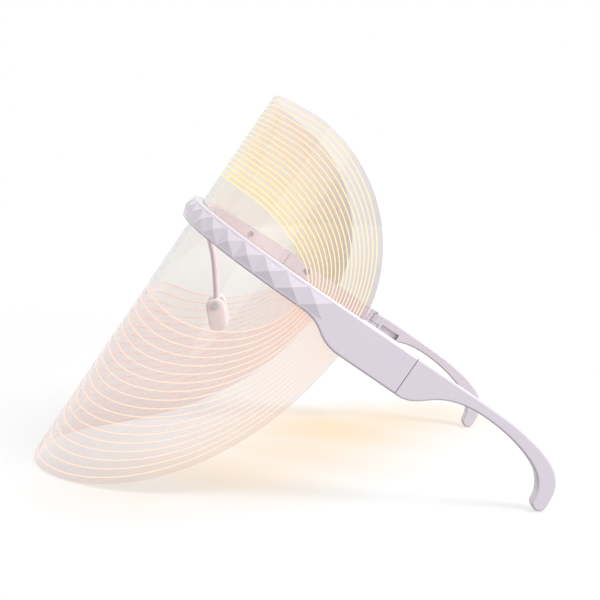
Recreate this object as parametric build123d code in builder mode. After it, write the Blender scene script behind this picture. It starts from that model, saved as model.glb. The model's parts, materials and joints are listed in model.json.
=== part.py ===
"""Wearable LED face shield: a bent clear sheet lit from a spectacle-like bar with folding side arms.

The pieces are drawn as the mask is worn: X to the wearer's left, Y backwards, Z up, with the front of
the sheet at Y = 0.  They are then laid down on their chin edge and arm tips, with the floor at Z = 0.
"""

import os
from math import atan, atan2, cos, degrees, hypot, pi, radians, sin, tan

from build123d import *

os.makedirs("parts", exist_ok=True)

# --- clear sheet: flat size, and the U that it is bent to -----------------------------------------
sheet_thickness = 1.5
sheet_half_width = 128.5  # along the bend, from the middle to the side edge
sheet_top = 64.3
sheet_bottom = -134.0
top_straight = 60.0  # half lengths of the straight stretches of the rim
bottom_straight = 20.0
front_radius = 110.0
front_turn = 12.0
side_radius = 62.0
side_turn = 75.0
rim_steps = 14  # points on each of the rim's rounded quarters

# --- bar and side housings ------------------------------------------------------------------------
bar_top = 5.8
bar_bottom = -4.6
housing_bottom = -11.8
step_start = 60.0  # where the lower edge starts to widen into the housing
step_run = 22.0
housing_end = 110.0
outer_offset = 6.8  # outer face of the housing, from the outer face of the sheet
front_set_back = 2.2  # the outer face lies this much nearer the sheet at the front
frame_wall = 1.7
edge_round = 1.1
end_block = 3.1
cover_thickness = 2.2
brow_end = 52.0  # where the brow cover meets the side covers
cover_joint_gap = 0.2
sheet_gap = 0.1

# --- raised pyramids on the bar -------------------------------------------------------------------
stud_pitch = 11.6
stud_height = 1.3
stud_count_each_side = 10
stud_margin = 0.95  # plain border above and below the pyramids
stud_tip = 0.25
stud_root = 0.2  # how far each pyramid goes on below the bar's face

# --- lamps ----------------------------------------------------------------------------------------
led_pitch = 27.0
led_count_each_side = 3
led_width = 3.5
led_height = 2.8
led_clearance = 0.4
led_reach = 0.9  # how far the lamp stands into the sheet's window
led_seat = 0.03  # solder under each flat lamp on the curved strip
strip_width = 3.6
strip_thickness = 0.3
strip_z = -1.1
strip_offset = 2.1
strip_end = 116.0

# --- screws ---------------------------------------------------------------------------------------
screw_radius = 0.8
screw_clearance = 0.2
head_radius = 1.5
head_height = 1.0
head_recess = 1.1
boss_radius = 1.7
boss_z = 2.5
screw_reach = 1.9
brow_screw_s = (13.5, 67.5)
side_screw_s = (109.5, 148.4)
rear_screw_z = -3.0

# --- side arms and their hinges -------------------------------------------------------------------
seam_gap = 0.3
axis_behind_housing = 1.8
axis_inside_face = 1.5
lug_radius = 3.0
lug_clearance = 0.25
pin_radius = 0.9
pin_running_gap = 0.05
tongue_low = -6.0
tongue_high = 0.0
upper_lug_top = 4.6
lower_lug_bottom = -10.6
neck_width = 2.6
arm_tip_y = 187.75
arm_tip_z = -16.1
arm_tip_radius = 3.2
arm_thickness = 4.4
arm_thin_from = 130.0
arm_inward = 2.4  # how much nearer the middle the tip is than the seam
arm_edge_round = 0.9
arm_root_chamfer = 0.9  # keeps the arm's inner corner clear of the housing as it swings
recess_start = 116.5
recess_length = 12.0
recess_depth = 1.8
recess_top = 1.6
recess_height = 3.4

# --- electronics ----------------------------------------------------------------------------------
battery_size = (27.0, 10.5, 4.0)
battery_s = 132.4
battery_z = -1.2
foam_thickness = 0.4
board_size = (33.0, 11.0, 1.0)
board_s = 128.0
board_z = -1.9
board_offset = 3.5
switch_size = (5.0, 4.0, 3.0)
switch_plunger_radius = 1.0
button_s = 129.5
button_size = (5.0, 2.6)
button_gap = 0.2
button_proud = 0.8
button_travel = 0.5
button_flange = 0.7
flange_thickness = 0.8
socket_s = 139.0
socket_size = (9.0, 3.2, 7.0)
socket_gap = 0.2
wire_radius = 0.4

# --- nose piece -----------------------------------------------------------------------------------
nose_base_half = 17.0
nose_base_thickness = 1.8
nose_base_height = 7.4
nose_stem_width = 4.4
nose_stem_depth = 3.2
nose_pivot = (32.0, -31.0)
nose_yoke_half = 7.6
nose_yoke_radius = 2.1
nose_pad_gap = 0.3
nose_pad_thickness = 2.8
nose_pad_length = 15.0
nose_pad_width = 8.6
nose_pad_corner = 3.2
nose_pad_slope = -46.0
nose_pad_drop = 4.6

# --- values worked out from the sizes above -------------------------------------------------------
leg_heading = front_turn + side_turn
front_length = front_radius * radians(front_turn)
leg_start = front_length + side_radius * radians(side_turn)
cover_outer = -(sheet_thickness + sheet_gap)
cover_inner = cover_outer - cover_thickness
bar_middle = (bar_top + bar_bottom) / 2
view_reach = 160.0  # longer than the object, for views cut through all of it


def wrap_point(s, offset=0.0, set_back=0.0):
    """Plan position and heading at arc length s along the sheet's outer face, moved outwards by offset."""
    side, run = (1 if s >= 0 else -1), abs(s)
    turn = front_turn if run >= front_length else degrees(run / front_radius)
    heading, straight = turn, 0.0
    x, y = (front_radius + offset) * sin(radians(turn)), front_radius - (front_radius + offset) * cos(radians(turn))
    if run > front_length:
        heading = min(front_turn + degrees((run - front_length) / side_radius), leg_heading)
        middle = front_radius - side_radius
        x = middle * sin(radians(front_turn)) + (side_radius + offset) * sin(radians(heading))
        y = front_radius - middle * cos(radians(front_turn)) - (side_radius + offset) * cos(radians(heading))
        straight = max(run - leg_start, 0.0)
    x += straight * cos(radians(heading))
    y += straight * sin(radians(heading)) + set_back
    return side * x, y, side * heading


def wrap_plane(s, offset=0.0, z=0.0, set_back=0.0):
    """Plane standing on the wrap: its X runs along the bend, its Y is up and its Z points outwards."""
    x, y, heading = wrap_point(s, offset, set_back)
    along = (cos(radians(heading)), sin(radians(heading)), 0)
    outwards = (sin(radians(heading)), -cos(radians(heading)), 0)
    return Plane(origin=(x, y, z), x_dir=along, z_dir=outwards)


def leg_s(y):
    """Arc length at which the straight side of the sheet's outer face passes a given Y."""
    return leg_start + (y - wrap_point(leg_start)[1]) / sin(radians(leg_heading))


def leg_x(y, offset):
    """X of the left side's straight stretch at a given Y, at an offset from the sheet's outer face."""
    start = wrap_point(leg_start, offset)
    return start[0] + (y - start[1]) / tan(radians(leg_heading))


def wrap_band(inner, outer, set_back=0.0):
    """Plan of everything between two offsets of the wrap, left and right."""
    far = leg_s(view_reach)
    with BuildSketch() as band:
        with BuildLine():
            ends = []
            for offset, back in ((inner, 0.0), (outer, set_back)):
                middle = front_radius - side_radius
                centre = (middle * sin(radians(front_turn)),
                          front_radius - middle * cos(radians(front_turn)) + back)
                front = CenterArc((0, front_radius + back), front_radius + offset, -90, front_turn)
                CenterArc(centre, side_radius + offset, front_turn - 90, side_turn)
                corner = wrap_point(leg_start, offset, back)[:2]
                end = wrap_point(far, offset, back)[:2]
                Line(corner, end)
                ends.append(((0, back - offset), end))
            Line(ends[0][0], ends[1][0])
            Line(ends[0][1], ends[1][1])
        make_face()
        mirror(about=Plane.YZ)
    return band.sketch


def bar_view(inset=0.0, start=-20.0, end=housing_end):
    """Side view of the bar and the housing, drawn in inwards by inset and cut off at two values of Y."""
    drop = bar_bottom - housing_bottom
    turn = 2 * atan(drop / step_run)
    radius = step_run / (2 * sin(turn))
    with BuildSketch() as view:
        with BuildLine():
            fall = JernArc((step_start, bar_bottom), (1, 0), radius, -degrees(turn))
            settle = JernArc(fall @ 1, fall % 1, radius, degrees(turn))
            Polyline(settle @ 1, (view_reach, housing_bottom), (view_reach, bar_top), (-40, bar_top),
                     (-40, bar_bottom), fall @ 0)
        make_face()
        if inset:
            offset(amount=-inset, kind=Kind.INTERSECTION, mode=Mode.REPLACE)
        with Locations(((start + end) / 2, 0)):
            Rectangle(end - start, 2 * view_reach, mode=Mode.INTERSECT)
    return view.sketch


def sheet_view():
    """Side view of the bent sheet: its flat outline, with each arc length carried to its Y."""
    rim = []
    for step in range(-rim_steps, rim_steps + 1):
        turn = pi / 2 * (1 - abs(step) / rim_steps)
        height, straight = (sheet_bottom, bottom_straight) if step < 0 else (sheet_top, top_straight)
        s = straight + (sheet_half_width - straight) * sin(turn)
        rim.append((wrap_point(s)[1], height * cos(turn)))
    with BuildSketch() as view:
        with BuildLine():
            Spline(*rim)
            Polyline(rim[-1], (-10, sheet_top), (-10, sheet_bottom), rim[0])
        make_face()
    return view.sketch


def wrapped(inner, outer, view, set_back=0.0):
    """Solid that follows the wrap between two offsets and has the given side view."""
    with BuildPart() as piece:
        with BuildSketch(Plane.XY.offset(-view_reach)):
            add(wrap_band(inner, outer, set_back))
        extrude(amount=2 * view_reach)
        with BuildSketch(Plane.YZ):
            add(view)
        extrude(amount=view_reach, both=True, mode=Mode.INTERSECT)
    return piece.part


def on_outer_face(edge):
    """Whether an edge runs along the outer face of the bar and housings, other than straight up it."""
    point = edge @ 0.5
    x, y = abs(point.X), point.Y - front_set_back
    middle = front_radius - side_radius
    centre_x, centre_y = middle * sin(radians(front_turn)), front_radius - middle * cos(radians(front_turn))
    if y > wrap_point(leg_start, outer_offset)[1]:
        reach = x - leg_x(y, 0)
    elif degrees(atan2(x - centre_x, centre_y - y)) > front_turn:
        reach = hypot(x - centre_x, centre_y - y) - side_radius
    else:
        reach = hypot(x, front_radius - y) - front_radius
    upright = abs((edge % 0.5).Z) > 0.99
    return reach > outer_offset - 0.4 and not upright


def drill(s, z, radius, start, end):
    """Cut a round hole through the wrap between two offsets, in the part being built."""
    with BuildSketch(wrap_plane(s, start, z)) as hole:
        Circle(radius)
    extrude(hole.sketch, amount=end - start, mode=Mode.SUBTRACT)


def block(s, z, size, start, end, mode=Mode.ADD):
    """Block of the given size along the bend and upwards, between two offsets of the wrap."""
    with BuildSketch(wrap_plane(s, start, z)) as face:
        Rectangle(*size)
    extrude(face.sketch, amount=end - start, mode=mode)


def screw(s, z, seat, tip):
    """Pan-head screw driven outwards from its seat, with its head on the wearer's side."""
    for radius, length in ((head_radius, -head_height), (screw_radius, tip - seat)):
        with BuildSketch(wrap_plane(s, seat, z)) as section:
            Circle(radius)
        extrude(section.sketch, amount=length)


def disc(side, radius, low, high, mode=Mode.ADD):
    """Upright cylinder on one hinge axis, in the part being built."""
    with BuildSketch(Plane.XY.offset(low)) as section:
        with Locations((side * axis_x, axis_y)):
            Circle(radius)
    extrude(section.sketch, amount=high - low, mode=mode)


def stud(place):
    """Four-sided pyramid on the bar's outer face, at a distance along that face from the middle."""
    side, run = (1 if place >= 0 else -1), abs(place)
    front_run = (front_radius + outer_offset) * radians(front_turn)
    side_run = (side_radius + outer_offset) * radians(side_turn)
    bend, s = front_radius + outer_offset, run * front_radius / (front_radius + outer_offset)
    if run > front_run:
        bend, s = side_radius + outer_offset, front_length + (run - front_run) * side_radius / (side_radius + outer_offset)
    if run > front_run + side_run:
        bend, s = view_reach, leg_start + run - front_run - side_run
    sag = stud_pitch ** 2 / (8 * bend)
    plane = wrap_plane(side * s, outer_offset, bar_middle, front_set_back)
    grow = (stud_height + sag + stud_root) / (stud_height + sag)
    with BuildPart() as pyramid:
        with BuildSketch(plane.offset(-sag - stud_root)):
            Rectangle(stud_pitch * grow, (bar_top - bar_bottom - 2 * stud_margin) * grow)
        with BuildSketch(plane.offset(stud_height)):
            Rectangle(stud_tip, stud_tip)
        loft()
    return pyramid.part


led_places = [i * led_pitch for i in range(-led_count_each_side, led_count_each_side + 1)]
brow_screws = [(side * s, boss_z) for side in (-1, 1) for s in brow_screw_s]
side_screws = [(side * s, z) for side in (-1, 1) for s, z in zip(side_screw_s, (boss_z, rear_screw_z))]
sheet_back = wrap_point(sheet_half_width)[1]
housing_inner = outer_offset - frame_wall - front_set_back * cos(radians(leg_heading))
axis_x = leg_x(housing_end, cover_inner) + axis_inside_face
axis_y = housing_end + axis_behind_housing
arm_outer = leg_x(housing_end - front_set_back, outer_offset)
pieces = {}

# --- clear sheet, with a window for each lamp and holes for the screws that pass through it --------
with BuildPart() as light_shield:
    add(wrapped(-sheet_thickness, 0.0, sheet_view()))
    for s in led_places:
        block(s, strip_z, (led_width + 2 * led_clearance, led_height + 2 * led_clearance), 1, -3, Mode.SUBTRACT)
    for s, z in brow_screws + side_screws:
        if abs(s) < sheet_half_width:
            drill(s, z, screw_radius + screw_clearance, 1, -3)
pieces["light_shield"] = light_shield.part

# --- front frame: bar and both housings in one moulding, open towards the wearer -------------------
with BuildPart() as front_frame:
    add(wrapped(sheet_gap, outer_offset, bar_view(), front_set_back))
    fillet(front_frame.edges().filter_by(on_outer_face), radius=edge_round)
    add(wrapped(cover_outer, sheet_gap + 1, bar_view(start=sheet_back + 0.5)))
    add(wrapped(cover_inner, sheet_gap + 1, bar_view(start=housing_end - end_block)))
    inside = bar_view(frame_wall, end=housing_end - end_block)
    add(wrapped(cover_inner - 1, outer_offset - frame_wall, inside, front_set_back), mode=Mode.SUBTRACT)
    add([stud(i * stud_pitch) for i in range(-stud_count_each_side, stud_count_each_side + 1)])
    for s, z in brow_screws + side_screws:
        face = sheet_gap if abs(s) < sheet_half_width else cover_outer
        with BuildSketch(wrap_plane(s, face, z)):
            Circle(boss_radius)
        extrude(amount=(housing_inner if abs(s) > leg_start else screw_reach + 1.3) - face)
        drill(s, z, screw_radius, face, screw_reach + 0.1)
    for side in (-1, 1):
        disc(side, lug_radius + lug_clearance, tongue_high, upper_lug_top + lug_clearance, Mode.SUBTRACT)
        disc(side, lug_radius + lug_clearance, lower_lug_bottom - lug_clearance, tongue_low, Mode.SUBTRACT)
        disc(side, lug_radius, tongue_low, tongue_high)
        with BuildSketch(Plane.XY.offset(tongue_low)):
            with Locations((side * (axis_x + (neck_width - axis_inside_face) / 2), axis_y - 1.9)):
                Rectangle(neck_width + axis_inside_face, 3.8)
        extrude(amount=tongue_high - tongue_low)
        disc(side, pin_radius + pin_running_gap, tongue_low, tongue_high, Mode.SUBTRACT)
    block(-socket_s, housing_bottom, (socket_size[0] + 2 * socket_gap, 5),
          housing_inner - board_size[2] - socket_size[1] - socket_gap,
          housing_inner - board_size[2] + socket_gap, Mode.SUBTRACT)
    button_middle = housing_inner - board_size[2] - switch_size[2] / 2
    block(-button_s, housing_bottom, (button_size[0] + 2 * button_gap, 5),
          button_middle - button_size[1] / 2 - button_gap,
          button_middle + button_size[1] / 2 + button_gap, Mode.SUBTRACT)
pieces["front_frame"] = front_frame.part

# --- covers on the wearer's side ------------------------------------------------------------------
with BuildPart() as brow_cover:
    add(wrapped(cover_inner, cover_outer, bar_view(end=brow_end)))
    for s, z in brow_screws:
        drill(s, z, screw_radius + screw_clearance, 0, cover_inner - 1)
        if abs(s) == brow_screw_s[1]:
            drill(s, z, head_radius + screw_clearance, cover_inner + head_recess, cover_inner - 1)
pieces["brow_cover"] = brow_cover.part

for side, name in ((1, "left_side_cover"), (-1, "right_side_cover")):
    with BuildPart() as side_cover:
        add(wrapped(cover_inner, cover_outer,
                    bar_view(start=brow_end + cover_joint_gap, end=housing_end - end_block - cover_joint_gap)))
        split(bisect_by=Plane.YZ, keep=Keep.TOP if side > 0 else Keep.BOTTOM)
        for s, z in side_screws:
            if s * side > 0:
                drill(s, z, screw_radius + screw_clearance, 0, cover_inner - 1)
                drill(s, z, head_radius + screw_clearance, cover_inner + head_recess, cover_inner - 1)
    pieces[name] = side_cover.part

# --- lamps on their flexible strip ----------------------------------------------------------------
with BuildPart() as led_strip_board:
    with BuildSketch() as strip_view:
        with Locations((0, strip_z)):
            Rectangle(2 * wrap_point(strip_end)[1], strip_width)
    add(wrapped(strip_offset, strip_offset + strip_thickness, strip_view.sketch))
pieces["led_strip_board"] = led_strip_board.part

with BuildPart() as leds:
    for s in led_places:
        block(s, strip_z, (led_width, led_height), strip_offset - led_seat, -led_reach)
pieces["leds"] = leds.part

# --- battery in the left housing ------------------------------------------------------------------
battery_outer = housing_inner - foam_thickness
with BuildPart() as battery:
    block(battery_s, battery_z, battery_size[:2], battery_outer - battery_size[2], battery_outer)
    fillet(battery.edges().filter_by(Axis.Z), radius=1.2)
pieces["battery"] = battery.part

with BuildPart() as battery_foam:
    block(battery_s, battery_z, (battery_size[0] - 4, battery_size[1] - 3), battery_outer, housing_inner)
pieces["battery_foam"] = battery_foam.part

# --- main board in the right housing, with its switch and charging socket --------------------------
board_inner = housing_inner - board_size[2]
with BuildPart() as main_board:
    board_start = wrap_point(board_s - board_size[0] / 2)[1]
    board_back = wrap_point(board_s + board_size[0] / 2)[1]
    add(wrapped(board_inner, housing_inner, bar_view(frame_wall + 0.3, board_start, board_back)))
    split(bisect_by=Plane.YZ, keep=Keep.BOTTOM)
    with BuildSketch(Plane.YZ):
        with Locations(((board_start + board_back) / 2, board_z)):
            Rectangle(board_size[0], board_size[1])
    extrude(amount=-view_reach, mode=Mode.INTERSECT)
pieces["main_board"] = main_board.part

with BuildPart() as board_chips:
    for s, z, size, height in ((-121, 0.6, (5, 4.4), 1.5), (-130, 0.9, (4, 4), 1.0), (-136.5, 1.2, (3, 2.6), 1.1)):
        block(s, z, size, board_inner - height, board_inner)
pieces["board_chips"] = board_chips.part

switch_bottom = board_z - board_size[1] / 2 + 0.2
with BuildPart() as tact_switch:
    block(-button_s, switch_bottom + switch_size[1] / 2, switch_size[:2],
          board_inner - switch_size[2], board_inner)
    x, y, heading = wrap_point(-button_s, button_middle)
    with BuildSketch(Plane.XY.offset(switch_bottom)):
        with Locations((x, y)):
            Circle(switch_plunger_radius + 0.1)
    extrude(amount=1.8, mode=Mode.SUBTRACT)
pieces["tact_switch"] = tact_switch.part

plunger_bottom = switch_bottom - 0.8
with BuildPart() as switch_plunger:
    with BuildSketch(Plane.XY.offset(plunger_bottom)):
        with Locations((x, y)):
            Circle(switch_plunger_radius)
    extrude(amount=1.9)
pieces["switch_plunger"] = switch_plunger.part

wall_inside = housing_bottom + frame_wall
button_plane = Plane(origin=(x, y, housing_bottom - button_proud), x_dir=wrap_plane(-button_s).x_dir)
with BuildPart() as power_button:
    with BuildSketch(button_plane):
        RectangleRounded(*button_size, 0.8)
    extrude(amount=wall_inside - housing_bottom + button_proud)
    fillet(power_button.faces().sort_by(Axis.Z)[0].edges(), radius=0.35)
    with BuildSketch(button_plane.offset(wall_inside - housing_bottom + button_proud)):
        Rectangle(button_size[0] + 2 * button_flange, button_size[1] + 2 * button_flange)
    extrude(amount=flange_thickness)
    with BuildSketch(Plane.XY.offset(wall_inside + flange_thickness)):
        with Locations((x, y)):
            Circle(0.8)
    extrude(amount=plunger_bottom - wall_inside - flange_thickness)
pieces["power_button"] = power_button.part

socket_middle = board_inner - socket_size[1] / 2
socket_x, socket_y = wrap_point(-socket_s, socket_middle)[:2]
socket_plane = Plane(origin=(socket_x, socket_y, housing_bottom + 0.3), x_dir=wrap_plane(-socket_s).x_dir)
with BuildPart() as charging_socket:
    with BuildSketch(socket_plane):
        RectangleRounded(socket_size[0], socket_size[1], 1.4)
    extrude(amount=socket_size[2])
    with BuildSketch(socket_plane):
        RectangleRounded(socket_size[0] - 0.7, socket_size[1] - 0.7, 1.1)
        Rectangle(socket_size[0] - 2.6, 0.7, mode=Mode.SUBTRACT)
    extrude(amount=socket_size[2] - 1, mode=Mode.SUBTRACT)
pieces["charging_socket"] = charging_socket.part


def lead_pair(side, route):
    """Two short wires, one above the other, whose route is given as arc length and offset."""
    with BuildPart() as leads:
        for z in (strip_z - 1.0, strip_z + 1.0):
            points = [Vector(*wrap_point(side * s, offset)[:2], z) for s, offset in route]
            with BuildLine() as path:
                FilletPolyline(*points, radius=0.5)
            with BuildSketch(Plane(origin=path.line @ 0, z_dir=path.line % 0)):
                Circle(wire_radius)
            sweep(path=path.line)
    return leads.part


strip_middle = strip_offset + strip_thickness / 2
battery_front = battery_s - battery_size[0] / 2
lead_start = strip_end + 0.15
pieces["battery_leads"] = lead_pair(1, ((lead_start, strip_middle), (strip_end + 1.4, strip_middle),
                                        (strip_end + 1.4, 3.4), (battery_front, 3.4)))
pieces["board_leads"] = lead_pair(-1, ((lead_start, strip_middle), (strip_end + 1.6, strip_middle),
                                       (strip_end + 1.6, board_inner)))

# --- cover screws ---------------------------------------------------------------------------------
with BuildPart() as cover_screws:
    for s, z in side_screws + [place for place in brow_screws if abs(place[0]) == brow_screw_s[1]]:
        screw(s, z, cover_inner + head_recess, screw_reach)
pieces["cover_screws"] = cover_screws.part

# --- nose piece: bracket under the two middle screws, axle and two pads ----------------------------
base_inner = cover_inner - nose_base_thickness
with BuildPart() as nose_bracket:
    add(wrapped(base_inner, cover_inner, bar_view(end=20)))
    with BuildSketch(Plane.XZ):
        with Locations((0, bar_middle)):
            SlotOverall(2 * nose_base_half, nose_base_height)
    extrude(amount=40, both=True, mode=Mode.INTERSECT)
    with BuildLine(Plane.YZ) as stem_line:
        Spline((-base_inner - 0.8, -1.2), (18.4, -12.8), (26.6, -22.8), nose_pivot, tangents=[(1, -0.75), (0.45, -1)])
    with BuildSketch(Plane(origin=stem_line.line @ 0, x_dir=(1, 0, 0), z_dir=stem_line.line % 0)):
        Ellipse(nose_stem_width / 2, nose_stem_depth / 2)
    sweep(path=stem_line.line)
    with BuildSketch(Plane.YZ.offset(-nose_yoke_half)):
        with Locations(nose_pivot):
            Circle(nose_yoke_radius)
    extrude(amount=2 * nose_yoke_half)
    with BuildSketch(Plane.YZ.offset(-nose_yoke_half)):
        with Locations(nose_pivot):
            Circle(pin_radius)
    extrude(amount=2 * nose_yoke_half, mode=Mode.SUBTRACT)
    for s, z in brow_screws:
        if abs(s) == brow_screw_s[0]:
            drill(s, z, screw_radius + screw_clearance, 0, base_inner - 1)
            drill(s, z, head_radius + screw_clearance, base_inner + head_recess, base_inner - 2)
pieces["nose_bracket"] = nose_bracket.part

with BuildPart() as bracket_screws:
    for s, z in brow_screws:
        if abs(s) == brow_screw_s[0]:
            screw(s, z, base_inner + head_recess, screw_reach)
pieces["bracket_screws"] = bracket_screws.part

axle_end = nose_yoke_half + nose_pad_gap + nose_pad_thickness + nose_pad_gap
with BuildPart() as nose_pad_axle:
    with BuildSketch(Plane.YZ.offset(-axle_end)):
        with Locations(nose_pivot):
            Circle(pin_radius)
    extrude(amount=2 * axle_end)
    for side in (-1, 1):
        with BuildSketch(Plane.YZ.offset(side * axle_end)):
            with Locations(nose_pivot):
                Circle(1.6)
        extrude(amount=side * 0.7)
pieces["nose_pad_axle"] = nose_pad_axle.part

for side, name in ((1, "left_nose_pad"), (-1, "right_nose_pad")):
    with BuildPart() as nose_pad:
        with BuildSketch(Plane.YZ.offset(side * (nose_yoke_half + nose_pad_gap))):
            with Locations((nose_pivot[0] + nose_pad_drop * cos(radians(nose_pad_slope)),
                            nose_pivot[1] + nose_pad_drop * sin(radians(nose_pad_slope)))):
                RectangleRounded(nose_pad_length, nose_pad_width, nose_pad_corner, rotation=nose_pad_slope)
        extrude(amount=side * nose_pad_thickness)
        fillet(nose_pad.edges(), radius=0.9)
        with BuildSketch(Plane.YZ.offset(side * nose_yoke_half)):
            with Locations(nose_pivot):
                Circle(pin_radius + pin_running_gap)
        extrude(amount=side * (nose_pad_thickness + 1), mode=Mode.SUBTRACT)
    pieces[name] = nose_pad.part


# --- side arms ------------------------------------------------------------------------------------
def arm_view():
    """Side view of an arm: a deep root, a thin middle and an ear hook with a round tip."""
    root, rear = housing_end + seam_gap, arm_tip_y + arm_tip_radius
    front = arm_tip_y - arm_tip_radius
    with BuildSketch() as view:
        with BuildLine():
            top = Line((root, bar_top), (142, bar_top))
            back = Spline(top @ 1, (168, 4.2), (184, -0.9), (rear, arm_tip_z), tangents=[(1, 0), (0, -1)])
            tip = ThreePointArc(back @ 1, (arm_tip_y, arm_tip_z - arm_tip_radius), (front, arm_tip_z))
            under = Spline(tip @ 1, (180.4, -7.8), (169, -2.1), (150, 0.9), (134, -0.6), (126, -4.3),
                           (119.5, -9.3), (root + 2.5, housing_bottom))
            Polyline(under @ 1, (root, housing_bottom), top @ 0)
        make_face()
    return view.sketch


def arm_plan(side):
    """Plan of an arm: as deep as the housing at the seam, then thin and drawn in towards the tip."""
    root, end = housing_end + seam_gap, arm_tip_y + 2 * arm_tip_radius
    outer, inner = arm_outer, leg_x(housing_end, cover_inner)
    with BuildSketch() as plan:
        with BuildLine():
            Spline((side * outer, root), (side * (outer - 0.5), 150), (side * (outer - arm_inward), end))
            Line((side * (outer - arm_inward), end), (side * (outer - arm_inward - arm_thickness), end))
            Spline((side * inner, root + 5.5), (side * (outer - 0.2 - arm_thickness), arm_thin_from),
                   (side * (outer - 0.5 - arm_thickness), 150), (side * (outer - arm_inward - arm_thickness), end))
            Polyline((side * inner, root + 5.5), (side * inner, root + arm_root_chamfer),
                     (side * (inner + arm_root_chamfer), root), (side * outer, root))
        make_face()
    return plan.sketch


def along_arm(edge):
    """Whether an edge runs along an arm, not across its flat end or straight through its thickness."""
    direction = edge % 0.5
    return (edge @ 0.5).Y > housing_end + 1 and abs(direction.X) < 0.9 and abs(direction.Z) < 0.999


for side, name in ((1, "left"), (-1, "right")):
    with BuildPart() as temple_arm:
        with BuildSketch(Plane.YZ):
            add(arm_view())
        extrude(amount=side * view_reach)
        with BuildSketch(Plane.XY.offset(-view_reach)):
            add(arm_plan(side))
        extrude(amount=2 * view_reach, mode=Mode.INTERSECT)
        fillet(temple_arm.edges().filter_by(along_arm), radius=arm_edge_round)
        with BuildSketch(Plane.XY.offset(recess_top - recess_height)):
            with BuildLine():
                recess_end = recess_start + recess_length
                face, thin = leg_x(housing_end, cover_inner), arm_outer - 0.2 - arm_thickness
                Polyline((side * (face - 3), recess_start), (side * (face + recess_depth), recess_start),
                         (side * (thin + recess_depth), recess_end), (side * (face - 3), recess_end), close=True)
            make_face()
        extrude(amount=recess_height, mode=Mode.SUBTRACT)
        disc(side, lug_radius, tongue_high + lug_clearance, upper_lug_top)
        disc(side, lug_radius, lower_lug_bottom, tongue_low - lug_clearance)
        disc(side, lug_radius + lug_clearance, tongue_low - lug_clearance, tongue_high + lug_clearance, Mode.SUBTRACT)
        disc(side, pin_radius, lower_lug_bottom - 2, upper_lug_top - 0.8, Mode.SUBTRACT)
    pieces[name + "_temple_arm"] = temple_arm.part

    with BuildPart() as hinge_pin:
        disc(side, pin_radius, lower_lug_bottom, upper_lug_top - 0.8)
    pieces[name + "_hinge_pin"] = hinge_pin.part


# --- laid down on the chin edge and both arm tips -------------------------------------------------
def rim_low(tilt):
    """Lowest point of the sheet's lower rim once the mask is tilted back by tilt."""
    low = 0.0
    for i in range(181):
        turn = radians(i / 2)
        s = bottom_straight + (sheet_half_width - bottom_straight) * sin(turn)
        low = min(low, sheet_bottom * cos(turn) * cos(tilt) - wrap_point(s)[1] * sin(tilt))
    return low


low_tilt, high_tilt = 0.0, radians(60)
for i in range(50):
    tilt = (low_tilt + high_tilt) / 2
    tip_low = arm_tip_z * cos(tilt) - arm_tip_y * sin(tilt) - arm_tip_radius
    if rim_low(tilt) < tip_low:
        low_tilt = tilt
    else:
        high_tilt = tilt
rest_tilt = degrees(tilt)

tilted = {name: Rot(-rest_tilt, 0, 0) * piece for name, piece in pieces.items()}
boxes = [piece.bounding_box() for piece in tilted.values()]
front, back = min(box.min.Y for box in boxes), max(box.max.Y for box in boxes)
rest_move = (0, -(front + back) / 2, -min(box.min.Z for box in boxes))
for name, piece in tilted.items():
    placed = Pos(*rest_move) * piece
    placed.label = name
    print(name, len(placed.solids()), round(placed.volume, 1), placed.is_valid)
    export_step(placed, f"parts/{name}.step")
print(f"{len(pieces)} pieces, tilted {rest_tilt:.3f} degrees, moved {rest_move}")
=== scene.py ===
import bpy, json
from math import atan2, cos, pi, radians, sin, sqrt
from mathutils import Vector, Matrix


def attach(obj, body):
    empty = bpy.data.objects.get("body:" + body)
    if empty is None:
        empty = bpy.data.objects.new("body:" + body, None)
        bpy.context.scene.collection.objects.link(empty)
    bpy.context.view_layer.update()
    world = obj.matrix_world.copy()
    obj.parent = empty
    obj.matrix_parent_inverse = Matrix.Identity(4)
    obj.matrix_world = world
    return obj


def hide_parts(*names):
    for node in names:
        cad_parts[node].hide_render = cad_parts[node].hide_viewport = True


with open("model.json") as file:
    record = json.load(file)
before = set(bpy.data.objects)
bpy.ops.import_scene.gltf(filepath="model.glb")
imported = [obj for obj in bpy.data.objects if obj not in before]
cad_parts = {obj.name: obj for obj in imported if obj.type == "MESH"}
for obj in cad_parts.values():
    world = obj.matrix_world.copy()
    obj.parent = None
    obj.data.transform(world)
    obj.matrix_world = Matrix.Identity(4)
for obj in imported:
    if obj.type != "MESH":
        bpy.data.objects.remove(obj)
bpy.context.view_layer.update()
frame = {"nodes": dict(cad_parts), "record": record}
nodes = frame["nodes"]
print("frame loaded:", len(nodes), "nodes")

# how the worn mask is laid down on its chin edge: tilt about X, then a move, in metres
laid = dict(tilt=32.011, back=-0.042984, up=0.116374)
layTurn = Matrix.Rotation(-radians(laid["tilt"]), 4, "X")
layMove = Matrix.Translation((0, laid["back"], laid["up"])) @ layTurn

# helpers for selecting, applying and placing
def clean():
    if bpy.context.object and bpy.context.object.mode != "OBJECT":
        bpy.ops.object.mode_set(mode="OBJECT")
    bpy.ops.object.select_all(action="DESELECT")

def makeActive(obj):
    clean()
    bpy.context.view_layer.objects.active = obj
    obj.select_set(True)

def applyAll(obj):
    makeActive(obj)
    for mod in list(obj.modifiers):
        bpy.ops.object.modifier_apply(modifier=mod.name)

def settle(obj, matrix=None):   # place goes into the mesh, object stays at the origin
    if matrix is not None:
        obj.matrix_world = matrix @ obj.matrix_world
    makeActive(obj)
    bpy.ops.object.transform_apply(location=True, rotation=True, scale=True)

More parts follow.
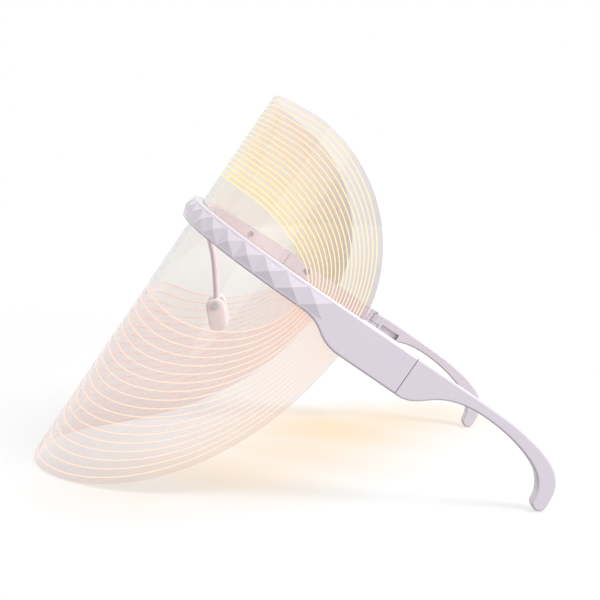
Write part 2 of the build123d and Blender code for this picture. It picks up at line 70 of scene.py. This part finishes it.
# helpers for shader nodes: a value is either a number, a colour or another node's output
def newGroup(name, inputs, outputs):
    tree = bpy.data.node_groups.new(name, "ShaderNodeTree")
    for label, kind, value in inputs:
        sock = tree.interface.new_socket(label, in_out="INPUT", socket_type=kind)
        sock.default_value = value
    for label, kind in outputs:
        tree.interface.new_socket(label, in_out="OUTPUT", socket_type=kind)
    return tree, tree.nodes.new("NodeGroupInput"), tree.nodes.new("NodeGroupOutput")

def feed(tree, value, sock):
    if hasattr(value, "is_output"):
        tree.links.new(value, sock)
    else:
        sock.default_value = value

def mixColor(tree, a, b, fac, blend="MIX"):
    node = tree.nodes.new("ShaderNodeMix")
    node.data_type = "RGBA"
    node.blend_type = blend
    for index, value in ((0, fac), (6, a), (7, b)):
        feed(tree, value, node.inputs[index])
    return node.outputs[2]

def math2(tree, op, a, b=0.5):
    node = tree.nodes.new("ShaderNodeMath")
    node.operation = op
    for index, value in enumerate((a, b)):
        feed(tree, value, node.inputs[index])
    return node.outputs[0]

def remap(tree, value, start, full, low=0, high=1, curve="SMOOTHSTEP"):   # low at start, high at full
    node = tree.nodes.new("ShaderNodeMapRange")
    node.interpolation_type = curve
    for label, entry in (("Value", value), ("From Min", start), ("From Max", full), ("To Min", low), ("To Max", high)):
        feed(tree, entry, node.inputs[label])
    return node.outputs[0]

def objectPlace(tree):
    return tree.nodes.new("ShaderNodeTexCoord").outputs["Object"]

def noise(tree, scale, detail=2):
    node = tree.nodes.new("ShaderNodeTexNoise")
    node.inputs["Detail"].default_value = detail
    feed(tree, scale, node.inputs["Scale"])
    tree.links.new(objectPlace(tree), node.inputs["Vector"])
    return node.outputs["Fac"]

def useGroup(tree, group, **values):
    node = tree.nodes.new("ShaderNodeGroup")
    node.node_tree = group
    for label, value in values.items():
        node.inputs[label.replace("_", " ")].default_value = value
    return node

# moulded plastic: faint flow clouding of the colour, gloss variation and a fine orange-peel height
mouldedSkin, gin, gout = newGroup("mouldedSkin",
    [("Colour", "NodeSocketColor", (0.8, 0.8, 0.8, 1)), ("Cloud", "NodeSocketFloat", 0.04),
     ("Gloss Base", "NodeSocketFloat", 0.2), ("Gloss Spread", "NodeSocketFloat", 0.1),
     ("Grain", "NodeSocketFloat", 900.0)],
    [("Colour", "NodeSocketColor"), ("Roughness", "NodeSocketFloat"), ("Height", "NodeSocketFloat")])
clouds = noise(mouldedSkin, 38, 3)
peel = noise(mouldedSkin, gin.outputs["Grain"], 1)
smear = noise(mouldedSkin, 120)
darker = mixColor(mouldedSkin, gin.outputs["Colour"], (0.72, 0.66, 0.74, 1), 1.0, "MULTIPLY")
shade = math2(mouldedSkin, "MULTIPLY", clouds, gin.outputs["Cloud"])
mouldedSkin.links.new(mixColor(mouldedSkin, gin.outputs["Colour"], darker, shade), gout.inputs["Colour"])
smeared = math2(mouldedSkin, "MULTIPLY", smear, gin.outputs["Gloss Spread"])
mouldedSkin.links.new(math2(mouldedSkin, "ADD", smeared, gin.outputs["Gloss Base"]), gout.inputs["Roughness"])
mouldedSkin.links.new(peel, gout.inputs["Height"])

# light from the lamps: 1 close to the bar at the brow, fading to 0 towards the rim and the ears
lampFade = dict(frontStart=0.012, frontEnd=0.085, aboveBar=0.02)   # metres, as worn
lampReach, gin, gout = newGroup("lampReach",
    [("Near", "NodeSocketFloat", 0.004), ("Far", "NodeSocketFloat", 0.09)],
    [("Up", "NodeSocketFloat"), ("Front", "NodeSocketFloat"), ("Glow", "NodeSocketFloat")])
toWorn = lampReach.nodes.new("ShaderNodeMapping")   # back to the upright, worn position
toWorn.vector_type = "POINT"
shiftBack = lampReach.nodes.new("ShaderNodeVectorMath")
shiftBack.operation = "SUBTRACT"
shiftBack.inputs[1].default_value = (0, laid["back"], laid["up"])
toWorn.inputs["Rotation"].default_value = (radians(laid["tilt"]), 0, 0)
lampReach.links.new(objectPlace(lampReach), shiftBack.inputs[0])
lampReach.links.new(shiftBack.outputs[0], toWorn.inputs["Vector"])
axes = lampReach.nodes.new("ShaderNodeSeparateXYZ")
lampReach.links.new(toWorn.outputs[0], axes.inputs[0])
height = math2(lampReach, "ABSOLUTE", axes.outputs["Z"], 0)
fall = remap(lampReach, height, gin.outputs["Near"], gin.outputs["Far"], 1, 0)
depth = remap(lampReach, axes.outputs["Y"], lampFade["frontStart"], lampFade["frontEnd"], 1, 0)
above = remap(lampReach, axes.outputs["Z"], -lampFade["aboveBar"], lampFade["aboveBar"])
lampReach.links.new(above, gout.inputs["Up"])
lampReach.links.new(depth, gout.inputs["Front"])
lampReach.links.new(math2(lampReach, "MULTIPLY", fall, depth), gout.inputs["Glow"])

# materials
def baseMaterial(name, **sockets):
    mat = bpy.data.materials.new(name)
    mat.use_nodes = True
    shader = mat.node_tree.nodes["Principled BSDF"]
    for label, value in sockets.items():
        shader.inputs[label.replace("_", " ")].default_value = value
    return mat, mat.node_tree, shader

# painted shade: 1 where a surface of the worn mask faces down, to darken the undersides
paintedUndersideShade, gin, gout = newGroup("paintedUndersideShade",
    [("Start", "NodeSocketFloat", 0.3), ("Full", "NodeSocketFloat", 0.8)], [("Mask", "NodeSocketFloat")])
facing = paintedUndersideShade.nodes.new("ShaderNodeVectorMath")
facing.operation = "DOT_PRODUCT"
facing.inputs[1].default_value = (0, -sin(radians(laid["tilt"])), -cos(radians(laid["tilt"])))
paintedUndersideShade.links.new(paintedUndersideShade.nodes.new("ShaderNodeTexCoord").outputs["Normal"], facing.inputs[0])
downShade = remap(paintedUndersideShade, facing.outputs["Value"], gin.outputs["Start"], gin.outputs["Full"])
paintedUndersideShade.links.new(downShade, gout.inputs["Mask"])

reliefDepth = 0.00004   # metres
def plastic(name, colour, cloud, gloss, spread, grain, bump, underShade=None, **sockets):
    mat, tree, shader = baseMaterial(name, **sockets)
    skin = useGroup(tree, mouldedSkin, Colour=(*colour, 1), Cloud=cloud, Gloss_Base=gloss, Gloss_Spread=spread,
        Grain=grain)
    relief = tree.nodes.new("ShaderNodeBump")
    relief.inputs["Strength"].default_value = bump
    relief.inputs["Distance"].default_value = reliefDepth
    paint = skin.outputs["Colour"]
    # painted shade: faces that look down are mixed towards the dark under colour
    if underShade:
        shadeAmount = useGroup(tree, paintedUndersideShade, Start=0.25, Full=0.75)
        paint = mixColor(tree, paint, (*underShade, 1), shadeAmount.outputs["Mask"])
    tree.links.new(paint, shader.inputs["Base Color"])
    tree.links.new(skin.outputs["Roughness"], shader.inputs["Roughness"])
    tree.links.new(skin.outputs["Height"], relief.inputs["Height"])
    tree.links.new(relief.outputs[0], shader.inputs["Normal"])
    return mat

# lilac plastic, with painted shade on its downward faces
lilacGloss = plastic("lilacGloss", (0.545, 0.50, 0.555), 0.2, 0.2, 0.12, 700, 0.25,
    underShade=(0.24, 0.19, 0.235), Coat_Weight=0.4, Coat_Roughness=0.1)
pinkSatin = plastic("pinkSatin", (0.74, 0.64, 0.70), 0.2, 0.3, 0.14, 900, 0.3)
padSilicone = plastic("padSilicone", (0.75, 0.68, 0.70), 0.3, 0.34, 0.12, 600, 0.25, Subsurface_Weight=0.6,
    Subsurface_Scale=0.006, IOR=1.41)
padSilicone.node_tree.nodes["Principled BSDF"].inputs["Subsurface Radius"].default_value = (1.0, 0.6, 0.55)
turnedSteel = plastic("turnedSteel", (0.62, 0.62, 0.64), 0.3, 0.22, 0.16, 2500, 0.35, Metallic=1.0)
flexBoard = plastic("flexBoard", (0.86, 0.83, 0.74), 0.3, 0.4, 0.1, 1500, 0.2)
foilPouch = plastic("foilPouch", (0.55, 0.56, 0.58), 0.4, 0.32, 0.2, 400, 0.6, Metallic=0.7)
blackFoam = plastic("blackFoam", (0.03, 0.03, 0.032), 0.3, 0.8, 0.1, 2200, 1.0)
greenBoard = plastic("greenBoard", (0.03, 0.16, 0.07), 0.5, 0.28, 0.12, 1200, 0.3)
chipResin = plastic("chipResin", (0.02, 0.02, 0.023), 0.3, 0.45, 0.1, 2600, 0.5)
redWire = plastic("redWire", (0.5, 0.03, 0.02), 0.2, 0.4, 0.1, 900, 0.2)
buttonGloss = plastic("buttonGloss", (0.58, 0.53, 0.60), 0.2, 0.2, 0.1, 800, 0.2, Coat_Weight=0.3)
lampResin = plastic("lampResin", (1.0, 0.8, 0.45), 0.2, 0.25, 0.1, 800, 0.2, Emission_Strength=1.6)
lampResin.node_tree.nodes["Principled BSDF"].inputs["Emission Color"].default_value = (1.0, 0.62, 0.2, 1)

# clear acrylic: a body tint, greyer towards the ears, with a painted warm glow of the lamps where it stands in the bar
def acrylic(name, body, ears, lampGlowPaint, far):
    mat, tree, shader = baseMaterial(name, Transmission_Weight=1.0, IOR=1.45)
    reach = useGroup(tree, lampReach, Near=0.004, Far=far)
    rear = math2(tree, "MULTIPLY", math2(tree, "SUBTRACT", 1.0, reach.outputs["Front"]), reach.outputs["Up"])
    # painted glow: a warm tint where the lamps sit, in place of their light
    paintedGlow = math2(tree, "MULTIPLY", reach.outputs["Glow"], reach.outputs["Up"])
    tint = mixColor(tree, mixColor(tree, (*body, 1), (*ears, 1), rear), (*lampGlowPaint, 1), paintedGlow)
    wisps = noise(tree, 30)
    clouded = mixColor(tree, tint, (0.93, 0.92, 0.92, 1), math2(tree, "MULTIPLY", wisps, 0.2))
    tree.links.new(clouded, shader.inputs["Base Color"])
    tree.links.new(remap(tree, wisps, 0, 1, 0.01, 0.05, "LINEAR"), shader.inputs["Roughness"])
    return mat

clearAcrylic = acrylic("clearAcrylic", (0.90, 0.89, 0.87), (0.70, 0.69, 0.68), (0.94, 0.87, 0.81), 0.035)
engravedAcrylic = acrylic("engravedAcrylic", (0.90, 0.83, 0.81), (0.62, 0.60, 0.60), (0.97, 0.90, 0.82), 0.08)

# engraved grooves and the flame-polished rim: frosted, with a painted glow (emission and a warm base colour) in place
# of the lamps' light
def litGroove(name, strength, orange):
    mat, tree, shader = baseMaterial(name, Emission_Strength=strength)
    reach = useGroup(tree, lampReach, Near=0.01, Far=0.075)
    frost = noise(tree, 1400)
    topColour = mixColor(tree, (1.0, 0.66, 0.34, 1), (1.0, 0.80, 0.04, 1), reach.outputs["Glow"])
    lowColour = mixColor(tree, (1.0, 0.62, 0.52, 1), (1.0, 0.50, 0.36, 1), orange)
    colour = mixColor(tree, lowColour, topColour, reach.outputs["Up"])
    tree.links.new(colour, shader.inputs["Emission Color"])
    # warm base colour that is part of the painted glow, varied by the frost grain
    frostAndGlowTint = mixColor(tree, (0.46, 0.31, 0.22, 1), (0.56, 0.40, 0.28, 1), frost)
    tree.links.new(frostAndGlowTint, shader.inputs["Base Color"])
    tree.links.new(remap(tree, frost, 0, 1, 0.4, 0.65, "LINEAR"), shader.inputs["Roughness"])
    return mat

engravedGlow = litGroove("engravedGlow", 0.75, 0.2)
rimGlow = litGroove("rimGlow", 0.7, 0.8)

finishes = {"lilac_plastic": lilacGloss, "pink_plastic": pinkSatin, "silicone": padSilicone, "steel": turnedSteel,
    "flex_board": flexBoard, "led_body": lampResin, "battery_wrap": foilPouch, "foam": blackFoam, "board": greenBoard,
    "chip": chipResin, "wire": redWire, "button_plastic": buttonGloss, "clear_acrylic": clearAcrylic}
for sub in frame["record"]["subparts"]:
    obj = nodes[sub["node"]]
    for slotIndex in range(len(obj.material_slots)):
        obj.material_slots[slotIndex].material = finishes[sub["material_slot"]]
print("materials done")

# clear sheet with its engraved rings; sizes are those of the flat sheet in millimetres: s along the bend, z up
sheet = dict(around=256, innerRings=18, lines=18, groove=0.21, grooveDepth=0.06, thick=1.5,
    frontRadius=110.0, frontTurn=12.0, sideRadius=62.0, sideTurn=75.0,
    rimTop=64.3, rimLow=-134.0, rimHalf=128.5, rimTopStraight=60.0, rimLowStraight=20.0,
    firstTop=21.0, firstLow=-40.5, firstHalf=102.5, firstTopStraight=55.0, firstLowStraight=50.0,
    lastTop=62.0, lastLow=-131.0, lastHalf=126.0, lastTopStraight=60.0, lastLowStraight=20.0, middle=-8.0,
    topShare=0.12, sideShare=0.5, lowShare=0.9, probe=0.0015, easeIn=0.9, smoothAngle=9)
sizeNames = ("Top", "Low", "Half", "TopStraight", "LowStraight")

def bent(s, z, out=0.0):   # a place on the flat sheet, carried to the worn mask
    side, run = (1 if s >= 0 else -1), abs(s)
    r1, r2, a1 = sheet["frontRadius"], sheet["sideRadius"], radians(sheet["frontTurn"])
    frontRun, a2 = r1 * a1, radians(sheet["frontTurn"] + sheet["sideTurn"])
    sideRun = r2 * (a2 - a1)
    if run <= frontRun:
        a = run / r1
        return Vector((side * (r1 + out) * sin(a), r1 - (r1 + out) * cos(a), z))
    a = min(a1 + (run - frontRun) / r2, a2)
    rest = max(run - frontRun - sideRun, 0)
    x = (r1 - r2) * sin(a1) + (r2 + out) * sin(a) + rest * cos(a)
    y = r1 - (r1 - r2) * cos(a1) - (r2 + out) * cos(a) + rest * sin(a)
    return Vector((side * x, y, z))

def ringPoint(share, top, low, half, topStraight, lowStraight):   # share runs once round from the middle of the top
    side = 1 if share < 0.5 else -1
    u = min(share, 1 - share) * 2
    topEnd, widest, lowStart = sheet["topShare"], sheet["sideShare"], sheet["lowShare"]
    if u < topEnd:
        return side * topStraight * u / topEnd, top
    if u < widest:
        a = pi / 2 * (u - topEnd) / (widest - topEnd)
        return side * (topStraight + (half - topStraight) * sin(a)), top * cos(a)
    if u < lowStart:
        a = pi / 2 * (u - widest) / (lowStart - widest)
        return side * (lowStraight + (half - lowStraight) * cos(a)), low * sin(a)
    return side * lowStraight * (1 - u) / (1 - lowStart), low

def ringSizes(k):   # k-th engraved ring, counted outwards
    t = k / (sheet["lines"] - 1)
    return [sheet["first" + w] + (sheet["last" + w] - sheet["first" + w]) * t for w in sizeNames]

rimSizes = [sheet["rim" + w] for w in sizeNames]

def offsetPoint(share, sizes, out):   # moved outwards, square to the ring
    s, z = ringPoint(share, *sizes)
    s1, z1 = ringPoint((share - sheet["probe"]) % 1, *sizes)
    s2, z2 = ringPoint((share + sheet["probe"]) % 1, *sizes)
    length = sqrt((s2 - s1) ** 2 + (z2 - z1) ** 2)
    return s - out * (z2 - z1) / length, z + out * (s2 - s1) / length

# list of rings from the middle outwards: (sizes, shrink towards the middle, offset, is a groove's bottom)
rings = []
for i in range(1, sheet["innerRings"] + 1):
    shrink = i / sheet["innerRings"]
    rings.append((ringSizes(0), shrink, -sheet["easeIn"] * shrink ** 4, False))
for k in range(sheet["lines"]):
    for out in (-sheet["groove"], 0, sheet["groove"]):
        rings.append((ringSizes(k), 1, out, out == 0))
rings.append((rimSizes, 1, 0, False))
bpy.ops.object.select_all(action="DESELECT")
bpy.ops.mesh.primitive_circle_add(vertices=sheet["around"], radius=1, fill_type="TRIFAN")
plate = bpy.context.object
plate.name = "engravedSheet"
bpy.ops.object.mode_set(mode="EDIT")
bpy.ops.mesh.select_mode(type="EDGE")
bpy.ops.mesh.select_all(action="SELECT")
bpy.ops.mesh.region_to_loop()
for count in range(2, len(rings) + 1):   # one extruded band for each ring, at whole radii
    bpy.ops.mesh.extrude_edges_move()
    growth = count / (count - 1)
    bpy.ops.transform.resize(value=(growth, growth, 1), center_override=(0, 0, 0))
bpy.ops.object.mode_set(mode="OBJECT")
clearSlot, grooveSlot, rimSlot, warmSlot = 0, 1, 2, 3
for mat in (clearAcrylic, engravedGlow, rimGlow, engravedAcrylic):
    plate.data.materials.append(mat)
mesh = plate.data
bottoms, outerZone = set(), set()
for v in mesh.vertices:
    radius = v.co.length
    ring = int(round(radius))
    share = (atan2(v.co.x, v.co.y) / (2 * pi)) % 1
    if ring == 0:
        v.co = (0, sheet["middle"], 0)
        continue
    sizes, shrink, out, bottom = rings[ring - 1]
    s, z = offsetPoint(share, sizes, out)
    v.co = (s * shrink, sheet["middle"] + (z - sheet["middle"]) * shrink, 0)
    if bottom:
        bottoms.add(v.index)
    if ring > sheet["innerRings"]:
        outerZone.add(v.index)
for p in mesh.polygons:
    zone = warmSlot if all(i in outerZone for i in p.vertices) else clearSlot
    p.material_index = grooveSlot if any(i in bottoms for i in p.vertices) else zone
grooveGroup = plate.vertex_groups.new(name="grooveBottom")
grooveGroup.add(list(bottoms), 1.0, "REPLACE")
shellGroup = plate.vertex_groups.new(name="innerShell")
for v in mesh.vertices:   # bend the flat plate round the face
    v.co = bent(v.co.x, v.co.y) / 1000
makeActive(plate)
bpy.ops.object.mode_set(mode="EDIT")
bpy.ops.mesh.select_all(action="SELECT")
bpy.ops.mesh.normals_make_consistent(inside=False)
bpy.ops.object.mode_set(mode="OBJECT")
middleFace = min(mesh.polygons, key=lambda p: (p.center - bent(5, sheet["middle"]) / 1000).length)
if middleFace.normal.y > 0:   # outer face looks away from the wearer
    bpy.ops.object.mode_set(mode="EDIT")
    bpy.ops.mesh.flip_normals()
    bpy.ops.object.mode_set(mode="OBJECT")
shell = plate.modifiers.new("thickness", "SOLIDIFY")
shell.thickness, shell.offset, shell.shell_vertex_group = sheet["thick"] / 1000, -1, "innerShell"
shell.material_offset_rim = rimSlot - warmSlot   # the outermost band is warmSlot
applyAll(plate)
grooveIndex = plate.vertex_groups["grooveBottom"].index
shellIndex = plate.vertex_groups["innerShell"].index
innerSide = set()
for v in plate.data.vertices:
    owned = {g.group: g.weight for g in v.groups}
    if owned.get(shellIndex, 0) > 0.5:
        innerSide.add(v.index)
    if owned.get(grooveIndex, 0) > 0.5 and owned.get(shellIndex, 0) < 0.5:
        v.co -= v.normal * sheet["grooveDepth"] / 1000
for p in plate.data.polygons:   # only the outer face is engraved
    if p.material_index == grooveSlot and all(i in innerSide for i in p.vertices):
        p.material_index = warmSlot
settle(plate, layMove)
makeActive(plate)
bpy.ops.object.shade_smooth_by_angle(angle=radians(sheet["smoothAngle"]))
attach(plate, "mask_frame")
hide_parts("light_shield")
print("engraved sheet:", len(plate.data.polygons), "faces")

# soft nose pads
nosePad = dict(length=15.0, width=8.6, corner=3.2, thick=2.8, slope=-46.0, drop=4.6, pivotY=32.0, pivotZ=-31.0,
    firstX=7.9, rim=1.2, dish=0.45, dishSlope=0.6, round=0.75)   # millimetres, as worn

def makePad(name, startX):
    clean()
    bpy.ops.mesh.primitive_plane_add(size=1)
    pad = bpy.context.object
    pad.name = name
    bpy.ops.object.mode_set(mode="EDIT")
    bpy.ops.mesh.select_all(action="SELECT")
    bpy.ops.transform.resize(value=(nosePad["length"], nosePad["width"], 1))
    bpy.ops.mesh.bevel(offset=nosePad["corner"], segments=5, affect="VERTICES")
    bpy.ops.mesh.select_all(action="SELECT")
    bpy.ops.mesh.extrude_region_move(TRANSFORM_OT_translate={"value": (0, 0, nosePad["thick"])})
    bpy.ops.mesh.select_all(action="SELECT")
    bpy.ops.mesh.normals_make_consistent(inside=False)
    bpy.ops.object.mode_set(mode="OBJECT")
    for level, sink in ((0, nosePad["dish"]), (nosePad["thick"], -nosePad["dish"])):   # dish both broad faces
        mesh = pad.data
        for p in mesh.polygons:
            p.select = abs(p.normal.z) > 0.9 and abs(p.center.z - level) < 0.01
        bpy.ops.object.mode_set(mode="EDIT")
        bpy.ops.mesh.select_mode(type="FACE")
        bpy.ops.mesh.inset(thickness=nosePad["rim"])
        bpy.ops.mesh.inset(thickness=nosePad["dishSlope"])
        bpy.ops.transform.translate(value=(0, 0, sink))
        bpy.ops.object.mode_set(mode="OBJECT")
        for p in pad.data.polygons:
            p.select = False
    soft = pad.modifiers.new("softEdge", "BEVEL")
    soft.width, soft.segments, soft.limit_method, soft.angle_limit = nosePad["round"], 4, "ANGLE", radians(50)
    applyAll(pad)
    slope = radians(nosePad["slope"])
    y = nosePad["pivotY"] + nosePad["drop"] * cos(slope)
    z = nosePad["pivotZ"] + nosePad["drop"] * sin(slope)
    worn = Matrix(((0, 0, 1, startX), (cos(slope), -sin(slope), 0, y), (sin(slope), cos(slope), 0, z),
        (0, 0, 0, 1)))
    settle(pad, layMove @ Matrix.Scale(0.001, 4) @ worn)
    pad.data.materials.append(padSilicone)
    makeActive(pad)
    bpy.ops.object.shade_smooth_by_angle(angle=radians(40))
    return pad

for name, body, startX in (("softPadLeft", "left_pad", nosePad["firstX"]),
        ("softPadRight", "right_pad", -nosePad["firstX"] - nosePad["thick"])):
    pad = makePad(name, startX)
    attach(pad, body)
    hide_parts(body.replace("_pad", "_nose_pad"))
print("nose pads done")

# socket-head screws on the wearer's side
screw = dict(headRadius=1.5, headHeight=1.0, shankRadius=0.8, tip=1.9, socket=0.72, socketDepth=0.6, edge=0.22,
    tipInset=0.3, tipHeight=0.25, coverSeat=-2.7, bracketSeat=-4.5)   # millimetres
coverPlaces = [(67.5, 2.5), (109.5, 2.5), (148.4, -3.0)]
bracketPlaces = [(13.5, 2.5)]

def makeScrew(seat):   # head towards +Z, seat at Z = 0
    clean()
    bpy.ops.mesh.primitive_cylinder_add(vertices=40, radius=screw["headRadius"], depth=screw["headHeight"],
        location=(0, 0, screw["headHeight"] / 2))
    head = bpy.context.object
    settle(head)
    length = screw["tip"] - seat
    mesh = head.data
    for p in mesh.polygons:
        p.select = p.normal.z < -0.9
    bpy.ops.object.mode_set(mode="EDIT")
    bpy.ops.mesh.select_mode(type="FACE")
    bpy.ops.mesh.inset(thickness=screw["headRadius"] - screw["shankRadius"])
    bpy.ops.mesh.extrude_region_move(TRANSFORM_OT_translate={"value": (0, 0, -length)})
    bpy.ops.mesh.inset(thickness=screw["tipInset"])
    bpy.ops.transform.translate(value=(0, 0, -screw["tipHeight"]))
    bpy.ops.object.mode_set(mode="OBJECT")
    clean()
    bpy.ops.mesh.primitive_cylinder_add(vertices=6, radius=screw["socket"], depth=2 * screw["socketDepth"],
        location=(0, 0, screw["headHeight"]))
    key = bpy.context.object
    settle(key)
    makeActive(head)
    cut = head.modifiers.new("hexSocket", "BOOLEAN")
    cut.operation, cut.object, cut.solver = "DIFFERENCE", key, "EXACT"
    soft = head.modifiers.new("headEdge", "BEVEL")
    soft.width, soft.segments, soft.limit_method, soft.angle_limit = screw["edge"], 3, "ANGLE", radians(50)
    applyAll(head)
    bpy.data.objects.remove(key)
    return head

def screwSet(name, places, seat, replaced):
    first = makeScrew(seat)
    copies = []
    for s, z in places:
        for side in (1, -1):
            copy = first.copy()
            copy.data = first.data.copy()
            bpy.context.scene.collection.objects.link(copy)
            out = (bent(side * s, z, 1) - bent(side * s, z, 0)).normalized()
            turn = (-out).to_track_quat("Z", "Y").to_matrix().to_4x4()
            seated = Matrix.Translation(bent(side * s, z, seat)) @ turn
            copy.matrix_world = layMove @ Matrix.Scale(0.001, 4) @ seated
            copies.append(copy)
    bpy.data.objects.remove(first)
    clean()
    for copy in copies:
        copy.select_set(True)
    bpy.context.view_layer.objects.active = copies[0]
    bpy.ops.object.join()
    whole = bpy.context.object
    whole.name = name
    settle(whole)
    whole.data.materials.clear()
    whole.data.materials.append(turnedSteel)
    makeActive(whole)
    bpy.ops.object.shade_smooth_by_angle(angle=radians(35))
    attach(whole, "mask_frame")
    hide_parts(replaced)

screwSet("coverScrewSet", coverPlaces, screw["coverSeat"], "cover_screws")
screwSet("bracketScrewSet", bracketPlaces, screw["bracketSeat"], "bracket_screws")
print("screws done")

# floor, light and camera
studio = dict(floorSize=6.0, keyPower=12.0, fillPower=0.6, worldWhite=1.0, floorGlow=0.86, floorDrop=0.0004,
    keyPlace=(0.35, 0.59, 0.94), fillPlace=(0.7, -0.7, 0.6), aim=(0, 0, 0.06))
# painted warm light: patches where the table's colour turns warm, in place of the light the lit mask throws on it: x,
# y, reach and strength
patches = ((-0.06, 0.03, 0.085, 1), (0.03, -0.02, 0.075, 0.65), (-0.105, 0.09, 0.06, 0.6), (-0.085, 0.06, 0.07, 0.8),
    (0.06, -0.06, 0.06, 0.3), (-0.01, 0.01, 0.08, 0.7))
bpy.ops.object.select_all(action="DESELECT")
bpy.ops.mesh.primitive_plane_add(size=studio["floorSize"], location=(0, 0, -studio["floorDrop"]))
floor = bpy.context.object
floor.name = "paleFloor"
floorPaint, tree, shader = baseMaterial("floorPaint", Roughness=0.8, Emission_Strength=studio["floorGlow"],
    Base_Color=(0.15, 0.15, 0.15, 1))   # a table lit from within
ground = objectPlace(tree)

def blob(x, y, near, far, low, high):   # a value that runs from low to high with distance from a place
    away = tree.nodes.new("ShaderNodeVectorMath")
    away.operation = "DISTANCE"
    away.inputs[1].default_value = (x, y, 0)
    tree.links.new(ground, away.inputs[0])
    return remap(tree, away.outputs["Value"], near, far, low, high)

# painted light pool: the floor's glow colour turns warm orange inside the patches
paintedSpill = 0
for x, y, reachOut, most in patches:
    paintedSpill = math2(tree, "MAXIMUM", paintedSpill, blob(x, y, 0, reachOut, most, 0))
level = blob(0, 0, 0.25, 1.6, 0.83, 1.0)
white = mixColor(tree, (0, 0, 0, 1), (1, 1, 1, 1), level)
tree.links.new(mixColor(tree, white, (0.84, 0.62, 0.38, 1), paintedSpill), shader.inputs["Emission Color"])
floor.data.materials.append(floorPaint)
settle(floor)

world = bpy.context.scene.world or bpy.data.worlds.new("World")
bpy.context.scene.world = world
world.use_nodes = True
world.node_tree.nodes["Background"].inputs["Color"].default_value = (1, 1, 1, 1)
world.node_tree.nodes["Background"].inputs["Strength"].default_value = studio["worldWhite"]

def softLamp(name, place, size, power):
    data = bpy.data.lights.new(name, "AREA")
    data.shape, data.size, data.energy = "DISK", size, power
    lamp = bpy.data.objects.new(name, data)
    bpy.context.scene.collection.objects.link(lamp)
    lamp.location = place
    lamp.rotation_euler = (Vector(studio["aim"]) - Vector(place)).to_track_quat("-Z", "Y").to_euler()
    return lamp

softLamp("keyLight", studio["keyPlace"], 0.4, studio["keyPower"])
softLamp("fillLight", studio["fillPlace"], 0.6, studio["fillPower"])

view = dict(place=(0.5042, -0.0141, 0.1322), right=(0.0384, 0.9982, 0.0430), down=(0.1126, 0.0385, -0.9929),
    ahead=(-0.9929, 0.0429, -0.1109), lens=63.75)
cameraData = bpy.data.cameras.new("camera")
camera = bpy.data.objects.new("camera", cameraData)
bpy.context.scene.collection.objects.link(camera)
cameraData.lens, cameraData.sensor_width, cameraData.clip_start = view["lens"], 36.0, 0.01
axisX, axisY, axisZ = Vector(view["right"]), -Vector(view["down"]), -Vector(view["ahead"])
camera.matrix_world = Matrix([(axisX[i], axisY[i], axisZ[i], view["place"][i]) for i in range(3)] + [(0, 0, 0, 1)])
bpy.context.scene.camera = camera
bpy.context.scene.view_settings.view_transform = "Standard"
print("stage and camera done")
